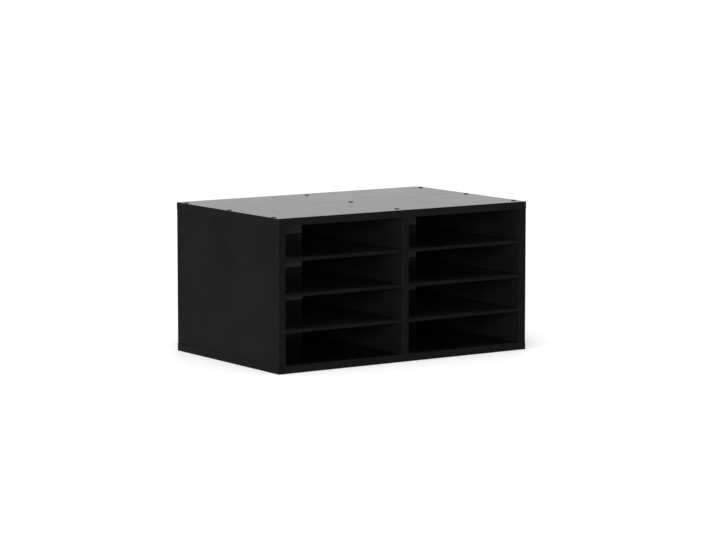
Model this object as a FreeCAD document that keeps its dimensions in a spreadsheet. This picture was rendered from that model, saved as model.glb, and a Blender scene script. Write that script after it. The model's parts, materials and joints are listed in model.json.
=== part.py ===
# Desktop envelope sorter: two columns of open slots between laminated boards.
# Frame: +X to the right, the open front faces -Y, +Z up, origin at the middle of the underside.
# Millimetres throughout.
import FreeCAD
import Part
import Sketcher
import math
import os

Vector = FreeCAD.Vector
Constraint = Sketcher.Constraint
document = FreeCAD.newDocument("EnvelopeSorter")

dimensions = {
    "overall_width": 500.0,      # over the ends of the top and bottom panels
    "overall_depth": 320.0,      # front edges to rear edges
    "overall_height": 254.0,     # underside to upper surface
    "board_thickness": 12.7,     # top, bottom, sides and divider are cut from one board
    "lap_overhang": 0.5,         # the top and bottom panels stand this far past the sides
    "edge_round": 0.4,           # softened edges of every cut board
    "shelf_thickness": 5.0,
    "shelf_groove_depth": 4.0,   # into the inner face of an upright
    "shelf_slack": 0.4,          # free height above a shelf in its groove
    "shelf_end_gap": 0.5,        # from each end of a shelf to its groove's floor
    "shelf_back_gap": 0.5,       # from a shelf's rear edge to the back panel
    "back_thickness": 3.0,
    "back_inset": 10.0,          # rear edges of the boards to the back panel's rear face
    "back_groove_depth": 4.0,
    "back_clearance": 0.3,       # free play of the back panel in its grooves
    "screw_front_distance": 26.0,  # front edge to the first screw of a row
    "screw_rear_distance": 20.0,   # rear edge to the last screw of a row
    "screw_end_distance": 8.0,     # each end of the top and bottom panels to the outer rows
    "screw_length": 40.0,
    "screw_diameter": 3.5,
    "screw_point_length": 5.0,
    "screw_head_diameter": 6.6,
    "screw_head_sink": 0.3,      # a head lies this far under the board's face
    "screw_clearance": 0.1,      # all round a screw in its hole
    "screw_hole_run": 2.0,       # a hole goes on this far past the screw's point
    "socket_width": 2.5,         # across the flats of the six-sided socket in a head
    "socket_depth": 1.4,
    "cap_rim": 0.35,             # a cap reaches this far past the edge of its countersink
    "cap_height": 1.3,
    "cap_edge_round": 0.6,
    "cap_stub_clearance": 0.1,   # all round a cap's stub in the socket
    "cap_stub_gap": 0.5,         # from the stub's end to the socket's floor
}
shelf_levels = ["lower", "middle", "upper"]
screws_in_row = 3

sheet = document.addObject("Spreadsheet::Sheet", "Sizes")
for row, (alias, number) in enumerate(dimensions.items(), start=1):
    sheet.set(f"A{row}", alias.replace("_", " "))
    sheet.set(f"B{row}", str(number))
    sheet.setAlias(f"B{row}", alias)
document.recompute()

# Places worked out from the sheet. Heights on an upright are counted from its lower end, and
# depths from the front edges.
slot_count = len(shelf_levels) + 1
side_outer = "(Sizes.overall_width / 2 - Sizes.lap_overhang)"
side_inner = f"({side_outer} - Sizes.board_thickness)"
outer_row = "(Sizes.overall_width / 2 - Sizes.screw_end_distance)"
upright_height = "(Sizes.overall_height - 2 * Sizes.board_thickness)"
front_edge = "(-Sizes.overall_depth / 2)"
back_front_face = "(Sizes.overall_depth - Sizes.back_inset - Sizes.back_thickness)"
back_groove_end = f"({back_front_face} + Sizes.back_thickness + Sizes.back_clearance)"
shelf_pitch = f"(({upright_height} + Sizes.shelf_thickness) / {slot_count})"
screw_pitch = ("((Sizes.overall_depth - Sizes.screw_front_distance - Sizes.screw_rear_distance)"
               f" / {screws_in_row - 1})")
screw_hole_diameter = "(Sizes.screw_diameter + 2 * Sizes.screw_clearance)"
countersink_diameter = "(Sizes.screw_head_diameter + 2 * Sizes.screw_head_sink)"
pilot_depth = ("(Sizes.screw_length + Sizes.screw_head_sink + Sizes.screw_hole_run"
               " - Sizes.board_thickness)")
board_middle = "(Sizes.board_thickness / 2)"
hexagon_sides = 6
countersink_angle = 90


def evaluate(expression):
    return float(sheet.evalExpression(expression))


def bindLength(item, name, expression):
    item.setExpression(name, f"{expression} * 1 mm")


def originPart(body, role):
    return next(part for part in body.Origin.OriginFeatures if part.Role == role)


def newBody(label, x, y, z):
    body = document.addObject("PartDesign::Body", label)
    body.Label = label
    for axis, expression in zip("xyz", (x, y, z)):
        bindLength(body, f"Placement.Base.{axis}", expression)
    return body


def newSketch(body, name, role, height="0"):
    sketch = body.newObject("Sketcher::SketchObject", f"{body.Name}_{name}")
    sketch.AttachmentSupport = (originPart(body, role), [""])
    sketch.MapMode = "FlatFace"
    bindLength(sketch, "AttachmentOffset.Base.z", height)
    return sketch


def bindConstraint(sketch, constraint, expression):
    index = sketch.addConstraint(constraint)
    bindLength(sketch, f"Constraints[{index}]", expression)


def bindPoint(sketch, geometry, point, x, y):
    # A point keeps its two distances from the sketch's origin.
    bindConstraint(sketch, Constraint("DistanceX", -1, 1, geometry, point, evaluate(x)), x)
    bindConstraint(sketch, Constraint("DistanceY", -1, 1, geometry, point, evaluate(y)), y)


def drawOutline(sketch, corners):
    # A closed chain of straight lines through the corners.
    count = len(corners)
    lines = [sketch.addGeometry(Part.LineSegment(corners[i], corners[(i + 1) % count]), False)
             for i in range(count)]
    for i in range(count):
        sketch.addConstraint(Constraint("Coincident", lines[i - 1], 2, lines[i], 1))
    return lines


def drawProfile(sketch, points):
    # An outline whose every corner is held by its own two expressions.
    lines = drawOutline(sketch, [Vector(evaluate(x), evaluate(y), 0) for x, y in points])
    for line, (x, y) in zip(lines, points):
        bindPoint(sketch, line, 1, x, y)


def drawRectangle(sketch, left, right, low, high):
    drawProfile(sketch, [(left, low), (right, low), (right, high), (left, high)])


def drawCircle(sketch, x, y, diameter):
    centre = Vector(evaluate(x), evaluate(y), 0)
    circle = Part.Circle(centre, Vector(0, 0, 1), evaluate(diameter) / 2)
    index = sketch.addGeometry(circle, False)
    bindPoint(sketch, index, 3, x, y)
    bindConstraint(sketch, Constraint("Diameter", index, evaluate(diameter)), diameter)


def drawHexagon(sketch, acrossFlats):
    # A regular hexagon about the sketch's origin, held by the circle through its corners.
    radius = evaluate(acrossFlats) / math.sqrt(3)
    turn = 2 * math.pi / hexagon_sides
    lines = drawOutline(sketch, [Vector(radius * math.cos(turn * i), radius * math.sin(turn * i), 0)
                                 for i in range(hexagon_sides)])
    circle = sketch.addGeometry(Part.Circle(Vector(0, 0, 0), Vector(0, 0, 1), radius), True)
    sketch.addConstraint(Constraint("Coincident", circle, 3, -1, 1))
    for line in lines:
        sketch.addConstraint(Constraint("PointOnObject", line, 1, circle))
    for line in lines[1:]:
        sketch.addConstraint(Constraint("Equal", lines[0], line))
    sketch.addConstraint(Constraint("Horizontal", lines[1]))
    bindConstraint(sketch, Constraint("Radius", circle, radius), f"({acrossFlats} / sqrt(3))")


def finishCut(body, feature):
    # A cut that points away from the solid leaves the volume of what it was cut from.
    body.Tip = feature
    document.recompute()
    if not feature.Shape.Volume < feature.BaseFeature.Shape.Volume:
        raise RuntimeError(f"{feature.Name} cuts nothing from {body.Label}")


def repeatAlong(body, features, direction, length, occurrences):
    pattern = body.newObject("PartDesign::LinearPattern", f"{features[0].Name}_row")
    pattern.Originals = features
    pattern.Direction = direction
    pattern.Mode = "Extent"
    bindLength(pattern, "Length", length)
    pattern.Occurrences = occurrences
    body.Tip = pattern
    document.recompute()


def cutBoard(label, width, depth, height, x, y, z):
    # A plain board with softened edges, drawn from its left front lower corner.
    body = newBody(label, x, y, z)
    outline = newSketch(body, "outline", "XY_Plane")
    drawRectangle(outline, "0", width, "0", depth)
    pad = body.newObject("PartDesign::Pad", f"{label}_board")
    pad.Profile = outline
    bindLength(pad, "Length", height)
    document.recompute()
    edges = body.newObject("PartDesign::Fillet", f"{label}_edges")
    edges.Base = (pad, [f"Edge{i + 1}" for i in range(len(pad.Shape.Edges))])
    bindLength(edges, "Radius", "Sizes.edge_round")
    document.recompute()
    return body


def cutGroove(body, sketch, alongNormal, length=None):
    # A straight groove in the sketch's outline, right through the board if no length is given.
    pocket = body.newObject("PartDesign::Pocket", f"{sketch.Name}_cut")
    pocket.Profile = sketch
    pocket.Reversed = alongNormal
    if length:
        bindLength(pocket, "Length", length)
    else:
        pocket.Type = "ThroughAll"
    document.recompute()
    finishCut(body, pocket)
    return pocket


def cutShelfGrooves(body, name, left, right):
    # Grooves that run through from the front edge to the rear edge of an upright.
    sketch = newSketch(body, name, "XZ_Plane")
    drawRectangle(sketch, left, right, f"({shelf_pitch} - Sizes.shelf_thickness)",
                  f"({shelf_pitch} + Sizes.shelf_slack)")
    pocket = cutGroove(body, sketch, False)
    repeatAlong(body, [pocket], (sketch, ["V_Axis"]), f"({shelf_pitch} * {len(shelf_levels) - 1})",
                len(shelf_levels))


def drillHoles(body, name, columns, height, upwards, depth=None):
    # A row of holes from front to rear at each column: blind ones for the screws' points, or
    # countersunk ones right through where no depth is given.
    sketch = newSketch(body, name, "XY_Plane", height)
    for column in columns:
        for place in range(screws_in_row):
            drawCircle(sketch, column, f"(Sizes.screw_front_distance + {place} * {screw_pitch})",
                       screw_hole_diameter)
    document.recompute()
    hole = body.newObject("PartDesign::Hole", f"{body.Name}_{name}_holes")
    hole.Profile = sketch
    document.recompute()
    hole.Reversed = upwards
    hole.ThreadType = "None"
    bindLength(hole, "Diameter", screw_hole_diameter)
    if depth:
        hole.DepthType = "Dimension"
        hole.DrillPoint = "Angled"
        bindLength(hole, "Depth", depth)
    else:
        hole.DepthType = "ThroughAll"
        hole.HoleCutType = "Countersink"
        hole.HoleCutCustomValues = True
        bindLength(hole, "HoleCutDiameter", countersink_diameter)
        hole.HoleCutCountersinkAngle = countersink_angle
    document.recompute()
    finishCut(body, hole)


def makeFlatPanel(label, z, outerFace, innerFace, groovedUpwards):
    # The top or bottom panel: a stopped groove for the back panel inside, screws from outside.
    panel = cutBoard(label, "Sizes.overall_width", "Sizes.overall_depth", "Sizes.board_thickness",
                     "(-Sizes.overall_width / 2)", front_edge, z)
    middle = "(Sizes.overall_width / 2)"
    reach = f"({side_inner} + Sizes.back_groove_depth)"
    groove = newSketch(panel, "back_groove", "XY_Plane", innerFace)
    drawRectangle(groove, f"({middle} - {reach})", f"({middle} + {reach})",
                  back_front_face, back_groove_end)
    cutGroove(panel, groove, groovedUpwards, "Sizes.back_groove_depth")
    columns = [f"({middle} - {outer_row})", middle, f"({middle} + {outer_row})"]
    drillHoles(panel, "screws", columns, outerFace, not groovedUpwards)


def drillUpright(panel, column):
    # Screw holes down from the upper end and up from the lower end.
    drillHoles(panel, "upper", [column], upright_height, False, pilot_depth)
    drillHoles(panel, "lower", [column], "0", True, pilot_depth)


def makeSidePanel(side):
    # A side panel, grooved in its inner face for the shelves and for the back panel.
    x = f"(-{side_outer})" if side == "left" else side_inner
    panel = cutBoard(f"{side}_side_panel", "Sizes.board_thickness", "Sizes.overall_depth",
                     upright_height, x, front_edge, "Sizes.board_thickness")

    def innerStrip(depth):
        if side == "left":
            return f"(Sizes.board_thickness - {depth})", "Sizes.board_thickness"
        return "0", depth

    cutShelfGrooves(panel, "shelf_groove", *innerStrip("Sizes.shelf_groove_depth"))
    groove = newSketch(panel, "back_groove", "XY_Plane")
    drawRectangle(groove, *innerStrip("Sizes.back_groove_depth"), back_front_face, back_groove_end)
    cutGroove(panel, groove, True)
    row = f"(-{outer_row})" if side == "left" else outer_row
    drillUpright(panel, f"({row} - {x})")


def makeDivider():
    # The divider ends at the back panel and has shelf grooves in both faces.
    panel = cutBoard("centre_divider", "Sizes.board_thickness", back_front_face, upright_height,
                     f"(-{board_middle})", front_edge, "Sizes.board_thickness")
    cutShelfGrooves(panel, "left_groove", "0", "Sizes.shelf_groove_depth")
    cutShelfGrooves(panel, "right_groove", "(Sizes.board_thickness - Sizes.shelf_groove_depth)",
                    "Sizes.board_thickness")
    drillUpright(panel, board_middle)


def makeBackPanel():
    # The back panel stands on the floor of the bottom groove and is held on all four edges.
    reach = f"({side_inner} + Sizes.back_groove_depth - Sizes.back_clearance)"
    height = f"({upright_height} + 2 * Sizes.back_groove_depth - Sizes.back_clearance)"
    cutBoard("back_panel", f"(2 * {reach})", "Sizes.back_thickness", height, f"(-{reach})",
             f"({front_edge} + {back_front_face})",
             "(Sizes.board_thickness - Sizes.back_groove_depth)")


def makeShelf(side, place, level):
    # A loose shelf, let into the grooves at both ends and lying on their lower faces.
    reach = "(Sizes.shelf_groove_depth - Sizes.shelf_end_gap)"
    width = f"({side_inner} - {board_middle} + 2 * {reach})"
    x = f"(-{side_inner} - {reach})" if side == "left" else f"({board_middle} - {reach})"
    z = f"(Sizes.board_thickness + {place} * {shelf_pitch} - Sizes.shelf_thickness)"
    cutBoard(f"{side}_{level}_shelf", width, f"({back_front_face} - Sizes.shelf_back_gap)",
             "Sizes.shelf_thickness", x, front_edge, z)


def turnProfile(body, points):
    # A round piece about the body's own upright axis.
    sketch = newSketch(body, "profile", "XZ_Plane")
    drawProfile(sketch, points)
    turned = body.newObject("PartDesign::Revolution", f"{body.Name}_turned")
    turned.Profile = sketch
    turned.ReferenceAxis = (sketch, ["V_Axis"])
    document.recompute()
    return turned


def repeatInRow(body, features):
    repeatAlong(body, features, (originPart(body, "Y_Axis"), [""]),
                f"({screw_pitch} * {screws_in_row - 1})", screws_in_row)


def makeScrewRow(label, x, y, z):
    # Countersunk screws with a six-sided socket, drawn with the head uppermost.
    body = newBody(label, x, y, z)
    head = "(Sizes.screw_head_diameter / 2)"
    shank = "(Sizes.screw_diameter / 2)"
    turned = turnProfile(body, [
        ("0", "0"),
        (head, "0"),
        (shank, f"({shank} - {head})"),
        (shank, "(Sizes.screw_point_length - Sizes.screw_length)"),
        ("0", "(-Sizes.screw_length)"),
    ])
    socket = newSketch(body, "socket", "XY_Plane")
    drawHexagon(socket, "Sizes.socket_width")
    pocket = cutGroove(body, socket, False, "Sizes.socket_depth")
    repeatInRow(body, [turned, pocket])
    return body


def makeScrews(upright, x):
    # One row down through the top panel, one row up through the bottom panel.
    front = f"({front_edge} + Sizes.screw_front_distance)"
    rear = f"(-{front_edge} - Sizes.screw_rear_distance)"
    makeScrewRow(f"{upright}_top_screws", x, front,
                 "(Sizes.overall_height - Sizes.screw_head_sink)")
    turnedOver = makeScrewRow(f"{upright}_bottom_screws", x, rear, "Sizes.screw_head_sink")
    turnedOver.Placement.Rotation = FreeCAD.Rotation(Vector(1, 0, 0), 180)


def makeCapRow(upright, x):
    # Low round caps over the heads in the top panel, each with a stub in the screw's socket.
    body = newBody(f"{upright}_screw_caps", x, f"({front_edge} + Sizes.screw_front_distance)",
                   "Sizes.overall_height")
    stub = "(Sizes.socket_width / 2 - Sizes.cap_stub_clearance)"
    stubEnd = "(-Sizes.screw_head_sink - Sizes.socket_depth + Sizes.cap_stub_gap)"
    rim = f"({countersink_diameter} / 2 + Sizes.cap_rim)"
    turned = turnProfile(body, [
        ("0", stubEnd),
        (stub, stubEnd),
        (stub, "0"),
        (rim, "0"),
        (rim, "(Sizes.cap_height - Sizes.cap_edge_round)"),
        (f"({rim} - Sizes.cap_edge_round)", "Sizes.cap_height"),
        ("0", "Sizes.cap_height"),
    ])
    repeatInRow(body, [turned])


makeFlatPanel("bottom_panel", "0", "0", "Sizes.board_thickness", False)
makeFlatPanel("top_panel", "(Sizes.overall_height - Sizes.board_thickness)",
              "Sizes.board_thickness", "0", True)
makeDivider()
makeBackPanel()
for side in ("left", "right"):
    makeSidePanel(side)
    for place, level in enumerate(shelf_levels, start=1):
        makeShelf(side, place, level)
for upright, x in (("left", f"(-{outer_row})"), ("centre", "0"), ("right", outer_row)):
    makeScrews(upright, x)
    makeCapRow(upright, x)

document.recompute()
for item in document.Objects:
    if "Invalid" in item.State or "Error" in item.State:
        raise RuntimeError(f"{item.Name} is in state {item.State}")
bodies = [item for item in document.Objects if item.isDerivedFrom("PartDesign::Body")]
for body in bodies:
    if body.Shape.isNull() or not body.Shape.isValid():
        raise RuntimeError(f"{body.Label} has no valid shape")

os.makedirs("parts", exist_ok=True)
for body in bodies:
    body.Shape.exportStep(f"parts/{body.Label}.step")
    print(body.Label, len(body.Shape.Solids), round(body.Shape.Volume, 1))
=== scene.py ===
# Desktop envelope sorter in black laminated board, on a pale studio floor.
import json
import math
import bpy
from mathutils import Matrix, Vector


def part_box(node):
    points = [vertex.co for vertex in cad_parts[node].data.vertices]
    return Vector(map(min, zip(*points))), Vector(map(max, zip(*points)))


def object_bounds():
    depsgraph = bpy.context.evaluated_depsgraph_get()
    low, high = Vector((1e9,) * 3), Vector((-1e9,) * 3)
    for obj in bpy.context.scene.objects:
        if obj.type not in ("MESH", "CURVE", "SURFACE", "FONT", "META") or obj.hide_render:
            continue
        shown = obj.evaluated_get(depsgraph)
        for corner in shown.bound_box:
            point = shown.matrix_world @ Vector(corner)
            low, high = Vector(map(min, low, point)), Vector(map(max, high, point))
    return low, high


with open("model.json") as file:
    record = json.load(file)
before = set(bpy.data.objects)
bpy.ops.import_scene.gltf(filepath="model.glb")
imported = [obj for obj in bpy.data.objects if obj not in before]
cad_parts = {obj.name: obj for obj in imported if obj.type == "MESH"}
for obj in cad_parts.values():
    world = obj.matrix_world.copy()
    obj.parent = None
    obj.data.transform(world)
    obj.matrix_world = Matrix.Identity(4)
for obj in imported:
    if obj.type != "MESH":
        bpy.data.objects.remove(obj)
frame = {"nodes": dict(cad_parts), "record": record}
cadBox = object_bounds()
nodes = frame["nodes"]
scene = bpy.context.scene
scene.view_settings.view_transform = "Standard"
print("frame loaded:", len(nodes), "nodes")


camera = {
    "place": (-2.9390, -4.3684, 0.7929),  # metres from the middle of the underside
    "turnDegrees": 34.048,                # from square to the front, towards its right end
    "tiltDegrees": 7.099,                 # looking down
    "lens": 156.72,
    "filmWidth": 36,
    "farLimit": 100,
}


def addCamera(values):
    data = bpy.data.cameras.new("studioCamera")
    data.lens = values["lens"]
    data.sensor_width = values["filmWidth"]
    data.clip_end = values["farLimit"]
    lookout = bpy.data.objects.new("studioCamera", data)
    lookout.location = values["place"]
    lookout.rotation_euler = (math.radians(90 - values["tiltDegrees"]), 0,
                              -math.radians(values["turnDegrees"]))
    scene.collection.objects.link(lookout)
    scene.camera = lookout


addCamera(camera)
print("camera placed")


# Small helpers for node trees: a value is a number, a colour or another node's output.
def plug(tree, value, socket):
    if isinstance(value, bpy.types.NodeSocket):
        tree.links.new(value, socket)
    else:
        socket.default_value = value


def addNode(tree, kind, settings=None, **inputs):
    node = tree.nodes.new(kind)
    for name, value in (settings or {}).items():
        setattr(node, name, value)
    for name, value in inputs.items():
        plug(tree, value, node.inputs[name.replace("_", " ")])
    return node


def newMaterial(name):
    material = bpy.data.materials.new(name)
    material.use_nodes = True
    material.node_tree.nodes.clear()
    return material, material.node_tree


def closeMaterial(tree, shader):
    addNode(tree, "ShaderNodeOutputMaterial", Surface=shader)


def calc(tree, operation, first, second=0.0):
    node = tree.nodes.new("ShaderNodeMath")
    node.operation = operation
    plug(tree, first, node.inputs[0])
    plug(tree, second, node.inputs[1])
    return node.outputs[0]


def spread(tree, value, fromLow, fromHigh, toLow=0.0, toHigh=1.0):
    # Carries a value from one range to another with soft ends.
    node = addNode(tree, "ShaderNodeMapRange", {"interpolation_type": "SMOOTHSTEP"}, Value=value,
                   From_Min=fromLow, From_Max=fromHigh, To_Min=toLow, To_Max=toHigh)
    return node.outputs["Result"]


def mixColor(tree, amount, first, second):
    # A mix node has its colours at inputs 6 and 7 and output 2.
    node = tree.nodes.new("ShaderNodeMix")
    node.data_type = "RGBA"
    plug(tree, amount, node.inputs[0])
    plug(tree, first, node.inputs[6])
    plug(tree, second, node.inputs[7])
    return node.outputs[2]


cloudRoughness = 0.55  # how strongly the finer octaves of a mottle show


def mottle(tree, place, size, detail=3.0, stretch=(1, 1, 1)):
    # Soft patches about `size` metres across, longer along an axis whose stretch is above 1.
    scaled = tree.nodes.new("ShaderNodeVectorMath")
    scaled.operation = "MULTIPLY"
    plug(tree, place, scaled.inputs[0])
    scaled.inputs[1].default_value = [1 / (size * along) for along in stretch]
    cloud = addNode(tree, "ShaderNodeTexNoise", Vector=scaled.outputs[0], Scale=1.0, Detail=detail,
                    Roughness=cloudRoughness)
    return cloud.outputs["Fac"]


def roughnessRange(values):
    middle, half = values["roughness"], values["roughnessSpread"]
    return middle - half, middle + half


def relief(tree, height, depth, under=None):
    # A bump `depth` metres high, on top of another bump.
    bump = addNode(tree, "ShaderNodeBump", Height=height, Strength=1.0, Distance=depth)
    if under is not None:
        plug(tree, under, bump.inputs["Normal"])
    return bump.outputs["Normal"]


def seenRay(tree):
    # 1 for what the camera sees, straight, in a reflection or through glass.
    path = tree.nodes.new("ShaderNodeLightPath")
    seen = calc(tree, "MAXIMUM", path.outputs["Is Camera Ray"], path.outputs["Is Glossy Ray"])
    return calc(tree, "MAXIMUM", seen, path.outputs["Is Transmission Ray"])


studio = {
    "ambient": 0.40,                     # strength of the room's own light
    "floorColor": (0.80, 0.80, 0.80, 1),
    "liftNear": 0.28,                    # brings the lit floor up to the white of the room
    "liftFar": 0.70,                     # and the floor beyond the lamps
    "liftFrom": 3.2,                     # metres from the sorter
    "liftTo": 5.4,
    "floorSize": 50.0,
    "floorDrop": 0.0004,                 # the floor lies this far under the sorter
}
lamps = {
    "overheadLamp": {"place": (-0.6, -0.6, 3.2), "size": (2.4, 2.4), "power": 60},
    "frontLamp": {"place": (-2.5, -3.6, 1.0), "size": (1.8, 1.2), "power": 125},
    "backLamp": {"place": (2.2, 3.0, 2.2), "size": (2.0, 2.0), "power": 40},
}
lampAim = (0, 0, 0.12)


def addWorld(values):
    world = bpy.data.worlds.new("studioRoom")
    scene.world = world
    world.use_nodes = True
    tree = world.node_tree
    tree.nodes.clear()
    room = addNode(tree, "ShaderNodeBackground", Color=(1, 1, 1, 1), Strength=values["ambient"])
    white = addNode(tree, "ShaderNodeBackground", Color=(1, 1, 1, 1), Strength=1.0)
    either = tree.nodes.new("ShaderNodeMixShader")
    plug(tree, seenRay(tree), either.inputs[0])
    plug(tree, room.outputs[0], either.inputs[1])
    plug(tree, white.outputs[0], either.inputs[2])
    addNode(tree, "ShaderNodeOutputWorld", Surface=either.outputs[0])


def addFloor(values):
    material, tree = newMaterial("paleFloor")
    place = tree.nodes.new("ShaderNodeTexCoord").outputs["Object"]
    away = tree.nodes.new("ShaderNodeVectorMath")
    away.operation = "LENGTH"
    plug(tree, place, away.inputs[0])
    lift = spread(tree, away.outputs["Value"], values["liftFrom"], values["liftTo"],
                  values["liftNear"], values["liftFar"])
    matt = addNode(tree, "ShaderNodeBsdfDiffuse", Color=values["floorColor"])
    glow = addNode(tree, "ShaderNodeEmission", Color=(1, 1, 1, 1),
                   Strength=calc(tree, "MULTIPLY", seenRay(tree), lift))
    both = tree.nodes.new("ShaderNodeAddShader")
    plug(tree, matt.outputs[0], both.inputs[0])
    plug(tree, glow.outputs[0], both.inputs[1])
    closeMaterial(tree, both.outputs[0])
    half = values["floorSize"] / 2
    mesh = bpy.data.meshes.new("floor")
    mesh.from_pydata([(-half, -half, 0), (half, -half, 0), (half, half, 0), (-half, half, 0)],
                     [], [(0, 1, 2, 3)])
    mesh.materials.append(material)
    floor = bpy.data.objects.new("floor", mesh)
    floor.location.z = -values["floorDrop"]
    scene.collection.objects.link(floor)


def addLamp(name, values):
    data = bpy.data.lights.new(name, "AREA")
    data.shape = "RECTANGLE"
    data.size, data.size_y = values["size"]
    data.energy = values["power"]
    lamp = bpy.data.objects.new(name, data)
    lamp.location = values["place"]
    aim = Vector(lampAim) - lamp.location
    lamp.rotation_euler = aim.to_track_quat("-Z", "Y").to_euler()
    lamp.visible_camera = False
    scene.collection.objects.link(lamp)


addWorld(studio)
addFloor(studio)
for lampName, lampValues in lamps.items():
    addLamp(lampName, lampValues)
print("studio lit")


# Satin laminate with a fine pressed pearl, edge bands, faint smudges and rubbed edges.
board = {
    "color": (0.0042, 0.0042, 0.0044, 1),
    "paler": (0.0070, 0.0070, 0.0073, 1),
    "cloudSize": 0.11,          # metres, as all sizes here
    "pearlSize": 0.0007,
    "pearlDepth": 0.000020,
    "ior": 1.097,
    "roughness": 0.14,
    "roughnessSpread": 0.025,
    "smudgeSize": 0.035,
    "smudgeRoughness": 0.03,
    "scratchLength": 0.030,
    "scratchWidth": 0.00025,    # up and down, so on a level face a scratch is a faint patch
    "scratchDepth": 0.000003,
    "scratchLengthwise": 3,     # its length from side to side over that from front to back
    "scratchPatchSize": 0.070,
    "scratchTint": 0.10,        # how far a scratch turns to the worn colour
    "bandThickness": 0.0006,    # the band on a board's narrow edges
    "bandColor": (0.0062, 0.0062, 0.0064, 1),
    "seamColor": (0.0015, 0.0015, 0.0015, 1),
    "seamWidth": 0.0002,
    "seamCore": 0.00005,        # the half width at its full darkness
    "seamDepth": 0.00002,
    "wearReach": 0.0011,
    "wearFromJoint": 3,         # full wear starts this many reaches from a joint
    "wearPatch": 0.017,
    "wearAmount": 0.7,
    "wearColor": (0.036, 0.035, 0.033, 1),
    "wearRoughness": 0.25,
}
# Where each mask begins and is full. The first two are for the facing of a face and for the turn of
# a rounded edge, and the others are levels of a mottle.
laminateMasks = {
    "narrowFace": (0.75, 0.55),
    "turnedEdge": (0.992, 0.90),
    "wearPatch": (0.47, 0.60),
    "scratchPatch": (0.52, 0.68),
    "scratchLine": (0.66, 0.74),
    "smudge": (0.50, 0.66),
    "cloud": (0.3, 0.7),
}
# The upright boards and the shelves are set paler than the top and bottom, to match the photograph.
# Painted light: these paler tones make lit copies of the one laminate on the uprights and shelves,
# standing in for light inside the slots.
paintedLightTone = {
    "color": (0.0080, 0.0080, 0.0083, 1),
    "paler": (0.0112, 0.0112, 0.0116, 1),
}
upright = dict(board, **paintedLightTone, ior=1.068)
shelf = dict(board, **paintedLightTone, roughness=0.16, bandColor=(0.0048, 0.0048, 0.0050, 1),
             bandThickness=0.0003, wearAmount=0.4)


def edgeBand(tree, coords, values, across, edges):
    # The board's narrow faces, and the hairline beside each banded edge.
    facing = addNode(tree, "ShaderNodeSeparateXYZ", Vector=coords["Normal"]).outputs[across]
    narrow = spread(tree, calc(tree, "ABSOLUTE", facing), *laminateMasks["narrowFace"])
    place = addNode(tree, "ShaderNodeSeparateXYZ", Vector=coords["Object"])
    seam = 0.0
    for axis, edge in edges:
        inside = calc(tree, "ABSOLUTE", calc(tree, "SUBTRACT", place.outputs[axis], edge))
        off = calc(tree, "ABSOLUTE", calc(tree, "SUBTRACT", inside, values["bandThickness"]))
        line = spread(tree, off, values["seamWidth"], values["seamCore"])
        seam = calc(tree, "MAXIMUM", seam, line)
    return narrow, seam


def rubbedEdge(tree, place, values, joints):
    # Patches along the open edges where hands and paper have rubbed the finish.
    bevel = addNode(tree, "ShaderNodeBevel", {"samples": 3}, Radius=values["wearReach"])
    flat = tree.nodes.new("ShaderNodeNewGeometry").outputs["Normal"]
    turned = tree.nodes.new("ShaderNodeVectorMath")
    turned.operation = "DOT_PRODUCT"
    plug(tree, bevel.outputs[0], turned.inputs[0])
    plug(tree, flat, turned.inputs[1])
    nearEdge = spread(tree, turned.outputs["Value"], *laminateMasks["turnedEdge"])
    patch = mottle(tree, place, values["wearPatch"], detail=6.0)
    patch = spread(tree, patch, *laminateMasks["wearPatch"])
    wear = calc(tree, "MULTIPLY", calc(tree, "MULTIPLY", nearEdge, patch), values["wearAmount"])
    height = addNode(tree, "ShaderNodeSeparateXYZ", Vector=place).outputs["Z"]
    for joint in joints:
        off = calc(tree, "ABSOLUTE", calc(tree, "SUBTRACT", height, joint))
        clear = spread(tree, off, values["wearReach"],
                       values["wearReach"] * values["wearFromJoint"])
        wear = calc(tree, "MULTIPLY", wear, clear)
    return wear


def laminateFinish(name, values, across, edges, joints=()):
    material, tree = newMaterial(name)
    coords = tree.nodes.new("ShaderNodeTexCoord").outputs
    place = coords["Object"]
    cloud = mottle(tree, place, values["cloudSize"], detail=5.0)
    pearl = mottle(tree, place, values["pearlSize"], detail=1.0)
    long = values["scratchLength"] / values["scratchWidth"]
    hair = mottle(tree, place, values["scratchWidth"], detail=1.0,
                  stretch=(long, long / values["scratchLengthwise"], 1))
    here = mottle(tree, place, values["scratchPatchSize"])
    here = spread(tree, here, *laminateMasks["scratchPatch"])
    scratch = calc(tree, "MULTIPLY", spread(tree, hair, *laminateMasks["scratchLine"]), here)
    smudge = mottle(tree, place, values["smudgeSize"], detail=6.0)
    smudge = spread(tree, smudge, *laminateMasks["smudge"])
    narrow, seam = edgeBand(tree, coords, values, across, edges)
    wear = rubbedEdge(tree, place, values, joints)

    patchy = spread(tree, cloud, *laminateMasks["cloud"])
    color = mixColor(tree, patchy, values["color"], values["paler"])
    color = mixColor(tree, narrow, color, values["bandColor"])
    scratchTint = calc(tree, "MULTIPLY", scratch, values["scratchTint"])
    color = mixColor(tree, scratchTint, color, values["wearColor"])
    color = mixColor(tree, seam, color, values["seamColor"])
    color = mixColor(tree, wear, color, values["wearColor"])

    rough = spread(tree, cloud, *laminateMasks["cloud"], *roughnessRange(values))
    rough = calc(tree, "ADD", rough, calc(tree, "MULTIPLY", smudge, values["smudgeRoughness"]))
    rough = calc(tree, "ADD", rough, calc(tree, "MULTIPLY", wear, values["wearRoughness"]))

    height = calc(tree, "MULTIPLY", pearl, values["pearlDepth"])
    height = calc(tree, "SUBTRACT", height, calc(tree, "MULTIPLY", scratch, values["scratchDepth"]))
    height = calc(tree, "SUBTRACT", height, calc(tree, "MULTIPLY", seam, values["seamDepth"]))
    skin = addNode(tree, "ShaderNodeBsdfPrincipled", Base_Color=color, Roughness=rough,
                   IOR=values["ior"], Normal=relief(tree, height, 1.0))
    closeMaterial(tree, skin.outputs[0])
    return material


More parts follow.
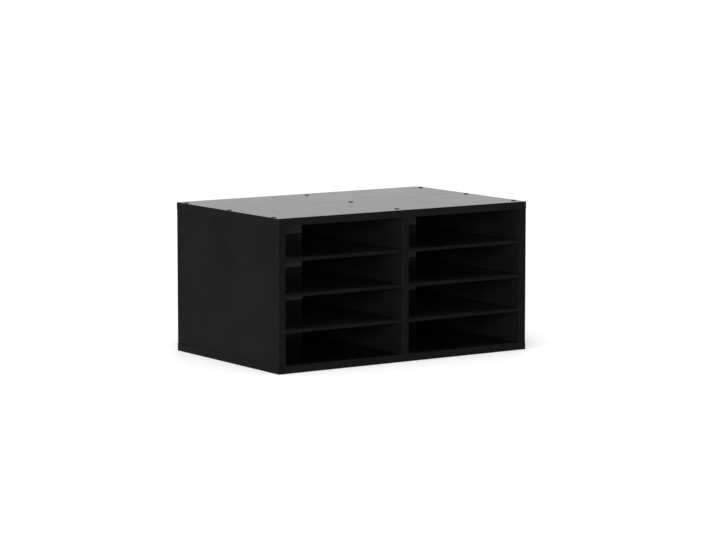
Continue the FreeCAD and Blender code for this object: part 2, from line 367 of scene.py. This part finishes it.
# Lacquered hardboard: fine fibre under the lacquer, and the slow waves of a thin sheet.
back = {
    "color": (0.013, 0.013, 0.0133, 1),
    "paler": (0.018, 0.018, 0.0182, 1),
    # Painted light: the grey of the face inside the slots stands in for light falling into the slots.
    # The face inside the slots is made paler than the boards, to come nearer to the photograph.
    "paintedLightInsideColor": (0.140, 0.140, 0.141, 1),
    "cloudSize": 0.05,
    "fibreWidth": 0.0004,
    "fibreStretch": 14,
    "fibreDepth": 0.000005,
    "waveSize": 0.10,
    "waveDepth": 0.00015,
    "ior": 1.20,
    "roughness": 0.20,
    "roughnessSpread": 0.05,
    "fibreShare": 0.3,          # of the fibre in the tone, the rest being cloud
    "waveStretch": 3,
}
# Where each mask begins and is full. The last two of four are its lowest and highest value.
hardboardMasks = {
    "tone": (0.35, 0.65),
    "paintedLightFacing": (-0.5, -0.7),
    "paintedLightPatch": (0.2, 0.8, 0.7, 1.0),
    "roughness": (0.3, 0.7),
}


def hardboardFinish(name, values):
    material, tree = newMaterial(name)
    coords = tree.nodes.new("ShaderNodeTexCoord").outputs
    place = coords["Object"]
    cloud = mottle(tree, place, values["cloudSize"], detail=5.0)
    fibre = mottle(tree, place, values["fibreWidth"], detail=2.0,
                   stretch=(values["fibreStretch"], 1, 1))
    wave = mottle(tree, place, values["waveSize"], detail=0.0,
                  stretch=(values["waveStretch"], 1, 1))
    cloudTone = calc(tree, "MULTIPLY", cloud, 1 - values["fibreShare"])
    tone = calc(tree, "ADD", cloudTone, calc(tree, "MULTIPLY", fibre, values["fibreShare"]))
    color = mixColor(tree, spread(tree, tone, *hardboardMasks["tone"]), values["color"],
                     values["paler"])
    # Painted light: the face turned to the front, into the slots, is painted paler, patchy with the
    # tone.
    facing = addNode(tree, "ShaderNodeSeparateXYZ", Vector=coords["Normal"]).outputs["Y"]
    patchy = spread(tree, tone, *hardboardMasks["paintedLightPatch"])
    inside = calc(tree, "MULTIPLY", spread(tree, facing, *hardboardMasks["paintedLightFacing"]), patchy)
    color = mixColor(tree, inside, color, values["paintedLightInsideColor"])
    rough = spread(tree, tone, *hardboardMasks["roughness"], *roughnessRange(values))
    normal = relief(tree, fibre, values["fibreDepth"], relief(tree, wave, values["waveDepth"]))
    skin = addNode(tree, "ShaderNodeBsdfPrincipled", Base_Color=color, Roughness=rough,
                   IOR=values["ior"], Normal=normal)
    closeMaterial(tree, skin.outputs[0])
    return material


# Moulded plastic of the screw caps, spark-textured in the mould and a little dusty.
cap = {
    "color": (0.010, 0.010, 0.0102, 1),
    "dusty": (0.030, 0.030, 0.029, 1),
    "textureSize": 0.00022,
    "textureDepth": 0.000010,
    "dustSize": 0.0016,
    "ior": 1.45,
    "roughness": 0.30,
    "roughnessSpread": 0.08,
    "dustFrom": 0.45,           # the mottle's level where dust begins, and where it is full
    "dustTo": 0.75,
}


def capFinish(name, values):
    material, tree = newMaterial(name)
    place = tree.nodes.new("ShaderNodeTexCoord").outputs["Object"]
    spark = mottle(tree, place, values["textureSize"])
    dust = mottle(tree, place, values["dustSize"], detail=5.0)
    dust = spread(tree, dust, values["dustFrom"], values["dustTo"])
    color = mixColor(tree, dust, values["color"], values["dusty"])
    rough = spread(tree, dust, 0.0, 1.0, *roughnessRange(values))
    skin = addNode(tree, "ShaderNodeBsdfPrincipled", Base_Color=color, Roughness=rough,
                   IOR=values["ior"], Normal=relief(tree, spark, values["textureDepth"]))
    closeMaterial(tree, skin.outputs[0])
    return material


# Zinc plating on the screws: cloudy, with fine marks from rolling and driving.
screw = {
    "color": (0.40, 0.40, 0.39, 1),
    "paler": (0.58, 0.57, 0.53, 1),
    "cloudSize": 0.0015,
    "markSize": 0.00012,
    "markDepth": 0.000006,
    "roughness": 0.34,
    "roughnessSpread": 0.12,
    "cloudFrom": 0.3,
    "cloudTo": 0.7,
    "markStretch": 6,
}


def zincFinish(name, values):
    material, tree = newMaterial(name)
    place = tree.nodes.new("ShaderNodeTexCoord").outputs["Object"]
    cloud = mottle(tree, place, values["cloudSize"], detail=5.0)
    marks = mottle(tree, place, values["markSize"], detail=2.0,
                   stretch=(1, values["markStretch"], 1))
    patchy = spread(tree, cloud, values["cloudFrom"], values["cloudTo"])
    color = mixColor(tree, patchy, values["color"], values["paler"])
    smooth, coarse = roughnessRange(values)
    rough = spread(tree, cloud, values["cloudFrom"], values["cloudTo"], coarse, smooth)
    skin = addNode(tree, "ShaderNodeBsdfPrincipled", Base_Color=color, Roughness=rough,
                   Metallic=1.0, Normal=relief(tree, marks, values["markDepth"]))
    closeMaterial(tree, skin.outputs[0])
    return material


left, front = cadBox[0][:2]
right = cadBox[1][0]
boardJoints = (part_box("bottom_panel")[1][2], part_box("top_panel")[0][2])  # heights where boards meet
uprightBoard = laminateFinish("uprightBoardLaminatePaintedLight", upright, "X", [("Y", front)], boardJoints)
flatBoard = laminateFinish("flatBoardLaminate", board, "Z",
                           [("Y", front), ("X", left), ("X", right)], boardJoints)
finishes = {
    "left_side_panel": uprightBoard,
    "right_side_panel": uprightBoard,
    "centre_divider": uprightBoard,
    "top_panel": flatBoard,
    "bottom_panel": flatBoard,
    "black_shelf_board": laminateFinish("shelfLaminatePaintedLight", shelf, "Z", [("Y", front)]),
    "black_hardboard": hardboardFinish("lacqueredHardboard", back),
    "cap_plastic": capFinish("capPlastic", cap),
    "screw_steel": zincFinish("zincSteel", screw),
}
for part in frame["record"]["subparts"]:
    finish = finishes.get(part["node"]) or finishes[part["material_slot"]]
    for materialSlot in nodes[part["node"]].material_slots:
        materialSlot.material = finish
print("finishes applied")
